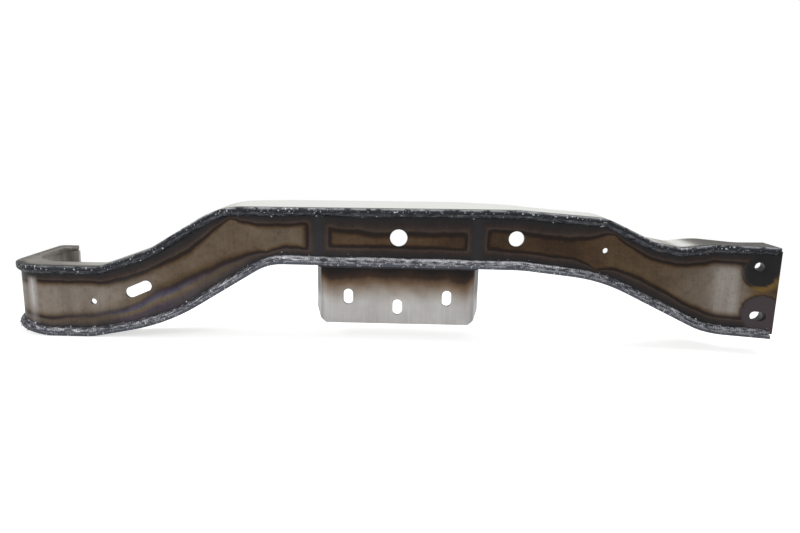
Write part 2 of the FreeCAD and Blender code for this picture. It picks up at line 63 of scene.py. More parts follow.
# Plan of the face plate's outer face, from the right end round the hook: x, y, bend radius.
FACE_PLAN = [(0.430, -0.0171488, 0.0), (0.366, 0.0, 0.030), (-0.457, 0.0, 0.040),
             (-0.457, 0.132, 0.012), (-0.431, 0.125, 0.0)]
# Middle height of the face along x.
MID_LEVEL = [(-0.457, -0.045), (-0.345, -0.045), (-0.22, 0.015), (-0.15, 0.032), (0.133, 0.034),
             (0.235, 0.026), (0.33, -0.015), (0.430, -0.018)]
# The right end is turned forward from this x on, by this angle, and ends at the last x.
END_BEND_X = 0.366
END_BEND_ANGLE = math.radians(15)
END_X = 0.43
# Plan of the hook's bend: centre, and the radius between its outer and inner side.
HOOK_X, HOOK_Y, HOOK_MIDDLE_RADIUS = -0.417, 0.040, 0.0376
# Middle of the sheet's thickness in the hook's end wall, and in the straight face.
HOOK_INNER_X = -0.4546
SHEET_MIDDLE_Y = 0.003
# Outer faces of the bracket's flanges.
BRACKET_LEFT, BRACKET_RIGHT = -0.0922, 0.0878

WHITE = (1.0, 1.0, 1.0)
BLACK = (0.0, 0.0, 0.0)
# Long beads: leg, spacing of their sections, facets across, pitch and height of a ripple.
BEAD_LEG = 0.0052
BEAD_STEP = 0.0007
BEAD_SIDES = 10
RIPPLE_PITCH = 0.0026
RIPPLE_HEIGHT = 0.00022

# Tint runs from 1 at a weld down to 0. At the dark line it has fallen by this much.
LINE_DROP = 0.48
# How sharply the tints of two welds meet in a corner.
CORNER_POWER = 14
# Distance of the dark tint line from each long weld, along x. It closes in where a weld pass ended.
UPPER_LINE = [(-0.457, 0.010), (-0.361, 0.0092), (-0.321, 0.0145), (-0.282, 0.0125), (-0.242, 0.0150),
              (-0.212, 0.0090), (-0.196, 0.0030), (-0.182, 0.0082), (-0.163, 0.0104), (-0.111, 0.0096),
              (-0.075, 0.0152), (-0.029, 0.0208), (0.023, 0.0200), (0.074, 0.0202), (0.107, 0.0140),
              (0.136, 0.0165), (0.190, 0.0190), (0.222, 0.0140), (0.245, 0.0035), (0.259, 0.0070),
              (0.297, 0.0108), (0.430, 0.0108)]
LOWER_LINE = [(-0.457, 0.010), (-0.411, 0.0110), (-0.361, 0.0148), (-0.321, 0.0165), (-0.282, 0.0240),
              (-0.242, 0.0215), (-0.212, 0.0180), (-0.183, 0.0135), (-0.154, 0.0060), (-0.131, 0.0105),
              (-0.111, 0.0088), (-0.078, 0.0118), (0.000, 0.0140), (0.072, 0.0126), (0.107, 0.0140),
              (0.138, 0.0115), (0.198, 0.0115), (0.217, 0.0075), (0.226, 0.0035), (0.243, 0.0095),
              (0.276, 0.0132), (0.340, 0.0102), (0.430, 0.0115)]
# Least tint of the face's middle along x.
LEAST_TINT = [(-0.457, 0.18), (-0.360, 0.20), (-0.270, 0.28), (-0.190, 0.28), (-0.120, 0.25),
              (-0.080, 0.36), (0.020, 0.37), (0.050, 0.41), (0.200, 0.42), (0.240, 0.36),
              (0.300, 0.33), (0.360, 0.20), (0.400, 0.22), (0.410, 0.36), (0.430, 0.38)]
# Welds of the ribs behind the face: x of both, distance of their dark line, half the width of their
# grey band, and their lower end.
RIB_PLACES = (-0.0945, 0.0884)
RIB_LINE = 0.0128
RIB_BAND = 0.0085
RIB_FOOT = -0.02
# Tinted discs over the end sleeves, the upper one first: x, z, radius.
SLEEVE_SPOTS = ((0.4110, 0.0050, 0.0140), (0.4165, -0.0430, 0.0165))


def step(value, low, high):
    """Smooth rise from 0 at low to 1 at high."""
    t = min(max((value - low) / (high - low), 0.0), 1.0)
    return t * t * (3.0 - 2.0 * t)


def along_table(table, x):
    """Value at x from a table of points, straight between them."""
    for (x0, v0), (x1, v1) in zip(table, table[1:]):
        if x <= x1:
            return v0 + (v1 - v0) * min(max((x - x0) / (x1 - x0), 0.0), 1.0)
    return table[-1][1]


def rounded_path(corners, spacing):
    """Even points along a polyline with rounded corners, each with its outward normal."""
    line = []
    for i, (x, y, radius) in enumerate(corners):
        here = Vector((x, y))
        if radius <= 0.0:
            line.append(here)
            continue
        back = (Vector(corners[i - 1][:2]) - here).normalized()
        ahead = (Vector(corners[i + 1][:2]) - here).normalized()
        half = math.acos(max(-1.0, min(1.0, back.dot(ahead)))) / 2
        run = radius / math.tan(half)
        centre = here + (back + ahead).normalized() * (radius / math.sin(half))
        start = here + back * run - centre
        sweep = math.pi - 2 * half
        turn = 1.0 if back.y * ahead.x - back.x * ahead.y > 0 else -1.0
        count = max(4, int(sweep * radius / spacing))
        for k in range(count + 1):
            a = turn * sweep * k / count
            line.append(centre + Vector((start.x * math.cos(a) - start.y * math.sin(a),
                                         start.x * math.sin(a) + start.y * math.cos(a))))
    points, carry = [], 0.0
    for a, b in zip(line, line[1:]):
        length = (b - a).length
        if length < 1e-9:
            continue
        way = (b - a) / length
        along = carry
        while along < length:
            points.append((a + way * along, Vector((-way.y, way.x))))
            along += spacing
        carry = along - length
    points.append((line[-1], points[-1][1]))
    return points


def tree_of(node):
    """Search tree of a CAD node's surface, about the datum."""
    mesh = nodes[node].data
    spots = [v.co - DATUM for v in mesh.vertices]
    return BVHTree.FromPolygons(spots, [tuple(p.vertices) for p in mesh.polygons])


def weld_samples(node, spacing=0.0015):
    """Search tree of closely spaced points along every edge of a CAD node, about the datum."""
    found = []
    mesh = nodes[node].data
    for edge in mesh.edges:
        a, b = (mesh.vertices[i].co - DATUM for i in edge.vertices)
        count = max(1, int((b - a).length / spacing))
        found.extend(a.lerp(b, k / count) for k in range(count + 1))
    tree = KDTree(len(found))
    for i, spot in enumerate(found):
        tree.insert(spot, i)
    tree.balance()
    return tree


def new_piece(name, mesh, replaced=()):
    """Object from a mesh drawn about the datum, kept inside the CAD box and riding on the part."""
    mesh.transform(Matrix.Translation(DATUM))
    for vertex in mesh.vertices:
        vertex.co = [min(max(v, low), high) for v, low, high in zip(vertex.co, cad_low, cad_high)]
    piece = bpy.data.objects.new(name, mesh)
    bpy.context.scene.collection.objects.link(piece)
    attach(piece, "root")
    if replaced:
        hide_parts(*replaced)
    return piece


def diced_copy(node, grid, bevel=0.0):
    """Copy of a CAD node's mesh, cut by planes across each axis so that shading can follow it."""
    bm = bmesh.new()
    bm.from_mesh(nodes[node].data)
    bmesh.ops.translate(bm, vec=-DATUM, verts=bm.verts)
    bmesh.ops.remove_doubles(bm, verts=bm.verts, dist=2e-6)
    bmesh.ops.dissolve_limit(bm, angle_limit=0.0015, verts=bm.verts, edges=bm.edges)
    if bevel:
        sharp = [e for e in bm.edges if len(e.link_faces) == 2 and e.calc_face_angle(0.0) > 0.9]
        bmesh.ops.bevel(bm, geom=sharp, offset=bevel, segments=2, affect="EDGES",
                        clamp_overlap=True, profile=0.6)
    for axis, pitch in enumerate(grid):
        if not pitch:
            continue
        spots = [v.co[axis] for v in bm.verts]
        low, high = min(spots), max(spots)
        count = int((high - low) / pitch)
        normal = Vector((0.0, 0.0, 0.0))
        normal[axis] = 1.0
        for k in range(1, count + 1):
            at = Vector((0.0, 0.0, 0.0))
            at[axis] = low + (high - low) * k / (count + 1)
            bmesh.ops.bisect_plane(bm, geom=bm.verts[:] + bm.edges[:] + bm.faces[:], dist=1e-6,
                                   plane_co=at, plane_no=normal)
    bmesh.ops.triangulate(bm, faces=[f for f in bm.faces if len(f.verts) > 4])
    mesh = bpy.data.meshes.new(node + "_skin")
    bm.to_mesh(mesh)
    bm.free()
    return mesh


def smooth_by_angle(mesh, angle=0.6):
    """Smooth shading, with edges sharper than the angle kept crisp."""
    for polygon in mesh.polygons:
        polygon.use_smooth = True
    bm = bmesh.new()
    bm.from_mesh(mesh)
    for edge in bm.edges:
        edge.smooth = not (len(edge.link_faces) == 2 and edge.calc_face_angle(0.0) > angle)
    bm.to_mesh(mesh)
    bm.free()


def add_attribute(mesh, name, values):
    """Stores a number on each vertex."""
    layer = mesh.attributes.new(name, "FLOAT", "POINT")
    layer.data.foreach_set("value", values)


class Shader:
    """Small helper to write a node material in a few lines."""

    def __init__(self, name):
        self.material = bpy.data.materials.new(name)
        self.material.use_nodes = True
        self.tree = self.material.node_tree
        self.tree.nodes.clear()
        self.out = self.add("ShaderNodeOutputMaterial")
        self.surface = self.add("ShaderNodeBsdfPrincipled")
        self.link(self.surface.outputs[0], self.out.inputs["Surface"])
        self.place = self.add("ShaderNodeTexCoord").outputs["Object"]

    def add(self, kind):
        return self.tree.nodes.new(kind)

    def link(self, source, target):
        self.tree.links.new(source, target)

    def put(self, socket, value):
        if isinstance(value, bpy.types.NodeSocket):
            self.link(value, socket)
        else:
            socket.default_value = value

    def math(self, operation, a, b=0.5, clamp=False):
        node = self.add("ShaderNodeMath")
        node.operation = operation
        node.use_clamp = clamp
        self.put(node.inputs[0], a)
        self.put(node.inputs[1], b)
        return node.outputs[0]

    def stretched(self, scale):
        node = self.add("ShaderNodeMapping")
        self.link(self.place, node.inputs["Vector"])
        node.inputs["Scale"].default_value = scale
        return node.outputs[0]

    def noise(self, scale, detail=4.0, rough=0.55, where=None, distort=0.0):
        node = self.add("ShaderNodeTexNoise")
        self.link(where or self.place, node.inputs["Vector"])
        node.inputs["Scale"].default_value = scale
        node.inputs["Detail"].default_value = detail
        node.inputs["Roughness"].default_value = rough
        node.inputs["Distortion"].default_value = distort
        return node.outputs["Fac"]

    def sway(self, value, amount):
        """Turns a noise from 0 to 1 into one about zero."""
        return self.math("MULTIPLY", self.math("SUBTRACT", value, 0.5), amount)

    def ramp(self, factor, stops):
        node = self.add("ShaderNodeValToRGB")
        points = node.color_ramp.elements
        points[0].position, points[-1].position = stops[0][0], stops[-1][0]
        points[0].color, points[-1].color = (*stops[0][1], 1.0), (*stops[-1][1], 1.0)
        for where, colour in stops[1:-1]:
            points.new(where).color = (*colour, 1.0)
        self.link(factor, node.inputs[0])
        return node.outputs["Color"]

    def mix(self, factor, a, b, blend="MIX"):
        node = self.add("ShaderNodeMix")
        node.data_type = "RGBA"
        node.blend_type = blend
        self.put(node.inputs["Factor"], factor)
        for key, value in (("A", a), ("B", b)):
            socket = [s for s in node.inputs if s.name == key and s.type == "RGBA"][0]
            self.put(socket, (*value, 1.0) if isinstance(value, tuple) and len(value) == 3 else value)
        return [s for s in node.outputs if s.type == "RGBA"][0]

    def attribute(self, name):
        node = self.add("ShaderNodeAttribute")
        node.attribute_name = name
        return node.outputs["Fac"]

    def bump(self, height, strength, distance=0.001, base=None):
        node = self.add("ShaderNodeBump")
        node.inputs["Strength"].default_value = strength
        node.inputs["Distance"].default_value = distance
        self.link(height, node.inputs["Height"])
        if base is not None:
            self.link(base, node.inputs["Normal"])
        return node.outputs[0]

    def finish(self, colour, rough, metal, normal):
        self.put(self.surface.inputs["Base Color"], colour)
        self.put(self.surface.inputs["Roughness"], rough)
        self.put(self.surface.inputs["Metallic"], metal)
        self.link(normal, self.surface.inputs["Normal"])
        return self.material


def seen(r, g, b):
    """Colour as an 8-bit screen value, turned to the linear one that shaders take."""
    return tuple(((c / 255 + 0.055) / 1.055) ** 2.4 if c > 10 else c / 3294.6 for c in (r, g, b))


def tinted_face_material():
    """Brown sheet whose tint follows the distance from the welds, with painted highlight on the bends
    and painted light on the hook's inner face.
    """
    s = Shader("heat_tinted_sheet")
    wobble = s.sway(s.noise(26.0, 3.0), 0.07)
    fine = s.sway(s.noise(240.0, 3.0), 0.05)
    heat = s.math("ADD", s.math("ADD", s.attribute("scorch"), wobble), fine)
    tint = s.ramp(heat, [
        (0.00, seen(160, 148, 138)), (0.14, seen(146, 133, 120)), (0.26, seen(124, 109, 92)),
        (0.34, seen(104, 84, 60)), (0.40, seen(86, 63, 39)), (0.455, seen(50, 31, 17)),
        (0.50, seen(34, 21, 13)), (0.56, seen(39, 27, 22)), (0.62, seen(82, 67, 58)),
        (0.69, seen(64, 52, 48)), (0.80, seen(50, 42, 41)), (0.90, seen(44, 42, 43)),
        (1.00, seen(32, 33, 35))])
    olive = s.ramp(heat, [
        (0.00, seen(160, 148, 138)), (0.26, seen(130, 113, 96)), (0.38, seen(100, 80, 58)),
        (0.46, seen(62, 44, 30)), (0.54, seen(50, 37, 30)), (0.62, seen(100, 86, 70)),
        (0.72, seen(112, 98, 82)), (0.84, seen(94, 84, 76)), (0.93, seen(68, 62, 64)),
        (1.00, seen(48, 47, 50))])
    spectrum = s.ramp(heat, [
        (0.40, seen(112, 92, 62)), (0.48, seen(58, 40, 36)), (0.54, seen(74, 58, 84)),
        (0.60, seen(88, 88, 116)), (0.67, seen(128, 114, 98)), (0.74, seen(124, 106, 84)),
        (0.82, seen(92, 80, 98)), (0.91, seen(82, 74, 80)), (1.00, seen(58, 54, 58))])
    tint = s.mix(s.attribute("olive"), tint, olive)
    tint = s.mix(s.attribute("rainbow"), tint, spectrum)
    blotch = s.ramp(s.noise(34.0, 6.0, 0.65), [(0.3, seen(190, 184, 178)), (0.7, (1.0, 1.0, 0.98))])
    colour = s.mix(0.8, tint, blotch, "MULTIPLY")
    # Painted highlight on the bends and painted light on the hook's inner face, in pale grey; the same
    # mask makes the left face's middle paler.
    colour = s.mix(s.attribute("bright"), colour, seen(206, 202, 198))
    grain = s.noise(18.0, 6.0, 0.7, s.stretched((26.0, 26.0, 1.2)))
    brushed = s.ramp(grain, [(0.25, seen(150, 148, 146)), (0.75, WHITE)])
    colour = s.mix(0.36, colour, brushed, "MULTIPLY")
    specks = s.ramp(s.noise(150.0, 4.0, 0.7), [(0.30, seen(176, 172, 168)), (0.5, WHITE)])
    colour = s.mix(0.45, colour, specks, "MULTIPLY")
    colour = s.mix(s.math("MULTIPLY", s.attribute("ribs"), 0.45), colour, seen(56, 58, 62))
    colour = s.mix(s.attribute("lilac"), colour, seen(74, 64, 68))
    colour = s.mix(s.attribute("straw"), colour, seen(132, 104, 44))
    rough = s.math("ADD", s.math("MULTIPLY", grain, 0.22), 0.30)
    bump = s.bump(grain, 0.16, 0.0006)
    bump = s.bump(s.noise(420.0, 3.0), 0.10, 0.0004, bump)
    return s.finish(colour, rough, 0.55, bump)


def wall_material(name, edge):
    """Edge walls: mill scale, dark by the welds and paler where it was left alone. Painted highlight
    on the upper wall's top and along the front edges, painted shade on the top by the right bend.
    """
    s = Shader(name)
    heat = s.math("ADD", s.attribute("scorch"), s.sway(s.noise(60.0, 4.0), 0.25))
    tint = s.ramp(heat, [(0.0, seen(150, 145, 138)), (0.35, seen(136, 130, 122)),
                         (0.6, edge), (1.0, edge)])
    blotch = s.noise(48.0, 6.0, 0.65)
    colour = s.mix(0.6, tint, s.ramp(blotch, [(0.25, seen(170, 168, 166)), (0.75, WHITE)]),
                   "MULTIPLY")
    # Painted highlight on the upper wall's top, near white.
    colour = s.mix(s.attribute("painted_top_highlight"), colour, seen(206, 207, 203))
    # Painted shade on the upper wall's top near the right bend.
    colour = s.mix(s.attribute("painted_top_shade"), colour, seen(58, 56, 52))
    flecks = s.ramp(s.noise(300.0, 3.0, 0.6), [(0.60, BLACK), (0.66, WHITE)])
    patchy = s.ramp(s.noise(40.0, 3.0), [(0.42, BLACK), (0.60, WHITE)])
    close = s.math("MULTIPLY", s.attribute("scorch"), 1.6, True)
    colour = s.mix(s.math("MULTIPLY", s.math("MULTIPLY", flecks, patchy), close), colour,
                   seen(206, 210, 218))
    facing = s.add("ShaderNodeSeparateXYZ")
    s.link(s.add("ShaderNodeNewGeometry").outputs["Normal"], facing.inputs[0])
    # Painted highlight along the front edge, where the surface faces forward and up, broken by noise.
    rim_highlight = s.math("MULTIPLY", s.math("MULTIPLY", facing.outputs["Y"], facing.outputs["Z"]), -2.8, True)
    broken = s.ramp(s.noise(90.0, 4.0, 0.6), [(0.40, BLACK), (0.54, WHITE)])
    rim_highlight = s.math("MULTIPLY", rim_highlight, s.attribute("rim_highlight_weight"))
    colour = s.mix(s.math("MULTIPLY", rim_highlight, broken), colour, seen(216, 218, 222))
    bump = s.bump(s.noise(260.0, 5.0), 0.25, 0.0005)
    # The painted top highlight is also less metallic and rougher.
    metal = s.math("SUBTRACT", 0.45, s.math("MULTIPLY", s.attribute("painted_top_highlight"), 0.36))
    rough = s.math("ADD", s.math("MULTIPLY", blotch, 0.3), 0.34)
    rough = s.math("ADD", rough, s.math("MULTIPLY", s.attribute("painted_top_highlight"), 0.25))
    return s.finish(colour, rough, metal, bump)


def bracket_material():
    """Bright brushed bracket, blackened along its weld, with painted shade, partly heat tint, on the
    tops of its flange sides.
    """
    s = Shader("bracket_sheet")
    grain = s.noise(14.0, 7.0, 0.72, s.stretched((30.0, 30.0, 0.9)))
    cloud = s.noise(22.0, 4.0)
    heat = s.math("ADD", s.attribute("scorch"), s.sway(s.noise(40.0, 5.0, 0.6), 0.30))
    heat = s.math("ADD", heat, s.sway(grain, 0.12))
    tint = s.ramp(heat, [(0.0, seen(222, 220, 218)), (0.16, seen(206, 200, 193)),
                         (0.36, seen(170, 156, 142)), (0.52, seen(130, 106, 82)),
                         (0.68, seen(66, 46, 34)), (0.85, seen(32, 25, 22)), (1.0, seen(24, 20, 20))])
    colour = s.mix(0.36, tint, s.ramp(grain, [(0.25, seen(150, 148, 148)), (0.75, WHITE)]),
                   "MULTIPLY")
    colour = s.mix(0.6, colour, s.ramp(cloud, [(0.3, seen(196, 194, 194)), (0.7, WHITE)]),
                   "MULTIPLY")
    # Painted shade, partly heat tint: near black over the top of the flange sides.
    colour = s.mix(s.attribute("side"), colour, seen(26, 23, 32))
    bump = s.bump(grain, 0.20, 0.0005)
    return s.finish(colour, s.math("ADD", s.math("MULTIPLY", grain, 0.25), 0.28), 0.6, bump)


def bead_material(name, dark, light, least, most):
    """Weld metal: dark oxide with streaks of clean metal that run along the bead; ripple crests and
    the lower bead's lit side are lightened as painted highlight.
    """
    s = Shader(name)
    joined = s.add("ShaderNodeCombineXYZ")
    s.link(s.math("MULTIPLY", s.attribute("run"), 110.0), joined.inputs[0])
    s.link(s.math("MULTIPLY", s.attribute("turn"), 2.6), joined.inputs[1])
    streak = s.noise(1.0, 6.0, 0.68, joined.outputs[0], 0.4)
    # The stored value adds painted highlight on ripple crests and along the lower bead.
    streak_and_highlight = s.math("ADD", streak, s.math("MULTIPLY", s.attribute("streak_and_highlight"), 0.10))
    grain = s.sway(s.noise(420.0, 4.0, 0.6), 0.22)
    colour = s.ramp(s.math("ADD", streak_and_highlight, grain), [
        (least, dark), ((least + most) / 2, tuple(0.65 * a + 0.35 * b for a, b in zip(dark, light))),
        (most, light)])
    scale = s.noise(120.0, 5.0, 0.6)
    colour = s.mix(0.5, colour, s.ramp(scale, [(0.3, seen(140, 142, 152)), (0.7, WHITE)]),
                   "MULTIPLY")
    bump = s.bump(s.noise(700.0, 4.0, 0.6), 0.35, 0.0006)
    return s.finish(colour, s.math("ADD", s.math("MULTIPLY", scale, 0.3), 0.30), 0.5, bump)


def plain_material(name, dark, light, metal=0.45):
    """Plain steel for pieces that are hardly seen."""
    s = Shader(name)
    cloud = s.noise(70.0, 5.0, 0.6)
    colour = s.ramp(cloud, [(0.3, dark), (0.7, light)])
    bump = s.bump(s.noise(300.0, 4.0), 0.25, 0.0005)
    return s.finish(colour, s.math("ADD", s.math("MULTIPLY", cloud, 0.25), 0.36), metal, bump)


def spatter_material():
    """Tiny bright beads of weld metal."""
    s = Shader("spatter_metal")
    cloud = s.noise(500.0, 3.0)
    colour = s.ramp(cloud, [(0.35, seen(120, 122, 128)), (0.65, seen(235, 236, 238))])
    return s.finish(colour, s.math("ADD", s.math("MULTIPLY", cloud, 0.2), 0.25), 0.4,
                    s.bump(s.noise(900.0, 2.0), 0.2, 0.0003))


def is_behind(p):
    """Whether a spot lies on the face plate's inner side."""
    if p.x > HOOK_X:
        return p.y > SHEET_MIDDLE_Y - max(0.0, p.x - END_BEND_X) * 0.27
    if p.y < HOOK_Y:
        return math.hypot(p.x - HOOK_X, p.y - HOOK_Y) < HOOK_MIDDLE_RADIUS
    return p.x > HOOK_INNER_X


def face_tint(p, upper, lower, tints):
    """Adds the tints of one spot on the face plate, with its painted highlight and painted light."""
    behind = is_behind(p)
    above_foot = p.z > RIB_FOOT
    wander = (noise.noise(Vector((p.x * 30.0, p.z * 12.0, 3.0))) * 0.0016
              + noise.noise(Vector((p.x * 90.0, p.z * 50.0, 8.0))) * 0.0010)
    over, under = upper.find(p)[2], lower.find(p)[2]
    x = min(p.x, END_X)
    heats = [1.0 - LINE_DROP * max(over + wander, 0.0) / along_table(UPPER_LINE, x),
             1.0 - LINE_DROP * max(under + wander, 0.0) / along_table(LOWER_LINE, x)]
    near_rib = min(abs(p.x - place) for place in RIB_PLACES)
    if above_foot:
        heats.append(1.0 - LINE_DROP * max(near_rib + 0.4 * wander, 0.0) / RIB_LINE)
    h = sum(max(v, 0.0) ** CORNER_POWER for v in heats) ** (1.0 / CORNER_POWER)
    h = max(h, along_table(LEAST_TINT, x))
    lilac = straw = 0.0
    for i, (sx, sz, radius) in enumerate(SLEEVE_SPOTS):
        away = math.hypot((p.x - sx) / math.cos(END_BEND_ANGLE), p.z - sz) + 0.5 * wander
        tight = 1.0 - step(away, radius + 0.0030, radius + 0.0055)
        h = max(h, 0.94 * tight, 0.50 * (1.0 - step(away, radius + 0.004, radius + 0.011)))
        straw = max(straw, 1.0 - step(away, radius + 0.004, radius + 0.012))
        if i == 1:
            lilac = tight
            if p.x > sx and p.z < sz + 0.004 or p.z < sz - 0.006:
                lilac = max(lilac, step(p.x, sx - radius, sx - radius + 0.006))
        elif p.x > sx and p.z > sz:
            h = max(h, 0.92)
        straw *= 1.0 - tight
    gap = 1.0 - step(abs(p.z + 0.014 - 0.35 * (p.x - 0.41)), 0.004, 0.009)
    straw *= gap * step(p.x, 0.398, 0.412)
    if behind:
        h, straw, lilac = min(h, 0.3), 0.0, 0.0
    if p.y > 0.06:
        h = 0.30 + 0.25 * h
    middle = step(min(over, under), 0.010, 0.022)
    streaks = 0.80 + 0.55 * noise.noise(Vector((p.x * 85.0, 0.0, p.z * 10.0)))
    # Painted highlight on the right end's bend, streaked like brushing.
    glow = 0.48 * middle * step(p.x, 0.345, 0.380) * (1.0 - step(p.x, 0.384, 0.398)) * streaks
    # The left face's middle is made paler in the same mask.
    glow += 0.17 * middle * (1.0 - step(p.x, -0.33, -0.26)) * streaks
    # Painted highlight down the bend at the left end, fading away from the upper weld.
    left_bend_highlight = max(0.0, 1.0 - abs(p.x + 0.430) / 0.008)
    glow += 0.85 * left_bend_highlight * step(over, 0.003, 0.010) * (1.0 - 0.7 * step(over, 0.030, 0.055))
    # Painted light on the hook's inner face, which sits in shade.
    if p.y > 0.05 and p.x > -0.4535:
        glow = 0.72
    left = 1.0 - step(p.x, -0.25, -0.14)
    band = 0.0 if behind else 1.0
    violet = step(p.x, -0.36, -0.31) * (1.0 - step(p.x, -0.275, -0.21))
    low_side = band * (1.0 - step(under, 0.024, 0.032)) * step(over, 0.008, 0.016)
    tints["scorch"].append(min(h, 1.0))
    tints["bright"].append(max(0.0, min(0.92, glow)))
    tints["olive"].append(band * 0.9 * left * step(over - under, -0.012, 0.010))
    tints["rainbow"].append(low_side * (0.15 + 0.75 * violet) * (1.0 - step(p.x, -0.16, 0.0)))
    tints["ribs"].append(max(0.0, 1.0 - near_rib / RIB_BAND) if above_foot else 0.0)
    tints["lilac"].append(0.85 * lilac)
    tints["straw"].append(0.9 * straw)


def build_face():
    """Face plate with the welds' tints and its painted highlight stored on its skin."""
    mesh = diced_copy("face_plate", (0.003, 0.006, 0.0025), 0.0004)
    upper, lower = weld_samples("upper_front_weld"), weld_samples("lower_front_weld")
    tints = {name: [] for name in ("scorch", "bright", "olive", "rainbow", "ribs", "lilac", "straw")}
    for vertex in mesh.vertices:
        face_tint(vertex.co, upper, lower, tints)
    for name, values in tints.items():
        add_attribute(mesh, name, values)
    smooth_by_angle(mesh)
    mesh.materials.append(tinted_face_material())
    new_piece("face_plate_skin", mesh, ["face_plate"])


def build_wall(node, is_upper):
    """Edge wall with the weld's heat near its front edge, and masks for its painted highlight and
    painted shade.
    """
    mesh = diced_copy(node, (0.004, 0.004, 0.0), 0.0009)
    tree = weld_samples("upper_front_weld" if is_upper else "lower_front_weld")
    heat, painted_top_highlight, painted_top_shade, rim_highlight_weight = [], [], [], []
    for vertex in mesh.vertices:
        p = vertex.co
        away = tree.find(p)[2]
        burn = 1.0 - min(away / 0.012, 1.0)
        heat.append(min(burn, 0.42) if p.y > 0.02 else burn)
        # Strength of the painted front-edge highlight, weaker on the left.
        rim_highlight_weight.append(0.35 + 0.65 * step(p.x, -0.34, -0.24))
        # Painted highlight on the upper wall's top, in stretches along x.
        open_top = step(away, 0.006, 0.010) if is_upper else 0.0
        lit = step(p.x, -0.25, -0.18) * (1.0 - step(p.x, 0.27, 0.34))
        lit += 0.4 * step(p.x, -0.41, -0.35) * (1.0 - step(p.x, -0.32, -0.28))
        lit += 0.9 * step(p.x, 0.315, 0.33) * (1.0 - step(p.x, 0.335, 0.35))
        painted_top_highlight.append(min(0.95, open_top * lit))
        # Painted shade on the top where it turns at the right bend.
        painted_top_shade.append(0.75 * open_top * step(p.x, 0.33, 0.36))
    for name, values in (("scorch", heat), ("painted_top_highlight", painted_top_highlight), ("painted_top_shade", painted_top_shade), ("rim_highlight_weight", rim_highlight_weight)):
        add_attribute(mesh, name, values)
    smooth_by_angle(mesh)
    # The upper edge colour is darker and the lower lighter: dark scale with painted shade under the
    # upper lip, and painted light on the lower one.
    edge = seen(42, 44, 50) if is_upper else seen(92, 94, 104)
    mesh.materials.append(wall_material(node + "_sheet", edge))
    new_piece(node + "_skin", mesh, [node])


def build_bracket():
    """Bracket with brushed grain, the weld's heat along its top, a painted highlight along its bent
    edges and painted shade on its flange sides.
    """
    mesh = diced_copy("transmission_bracket", (0.003, 0.004, 0.0025), 0.0006)
    heat, side = [], []
    for vertex in mesh.vertices:
        p = vertex.co
        drop = -p.z + 0.002 * noise.noise(Vector((p.x * 40.0, p.y * 40.0, 0.0)))
        edge = min(abs(p.x - BRACKET_LEFT), abs(p.x - BRACKET_RIGHT))
        # Painted highlight: less heat tint close to the bent edges so they read lighter; a band
        # further in gets a little more tint.
        drop += 0.009 * (1.0 - step(edge, 0.0, 0.010)) - 0.004 * (1.0 - step(edge, 0.012, 0.035))
        heat.append(1.0 - min(max(drop, 0.0) / 0.046, 1.0))
        # Mask of painted shade, partly heat tint, on the flange sides, fading out downward.
        flange = step(p.y, 0.0135, 0.0175)
        side.append(flange * 0.92 * (1.0 - step(-p.z, 0.030, 0.052)))
    add_attribute(mesh, "scorch", heat)
    add_attribute(mesh, "side", side)
    smooth_by_angle(mesh)
    mesh.materials.append(bracket_material())
    new_piece("transmission_bracket_skin", mesh, ["transmission_bracket"])


def corner_path(wall_tree, upward, spacing):
    """Corner between the face plate and a wall: place, outward normal, wall normal, length so far."""
    way = 1.0 if upward else -1.0
    path, travelled, last = [], 0.0, None
    for place, out in rounded_path(FACE_PLAN, spacing):
        start = Vector((place.x + out.x * 0.0015, place.y + out.y * 0.0015,
                        along_table(MID_LEVEL, place.x)))
        hit, normal, _, _ = wall_tree.ray_cast(start, Vector((0.0, 0.0, way)))
        if hit is None:
            continue
        if normal.z * way > 0:
            normal = -normal
        spot = Vector((place.x, place.y, hit.z))
        if last is not None:
            travelled += (spot - last).length
        last = spot
        path.append((spot, Vector((out.x, out.y, 0.0)), normal, travelled))
    return path


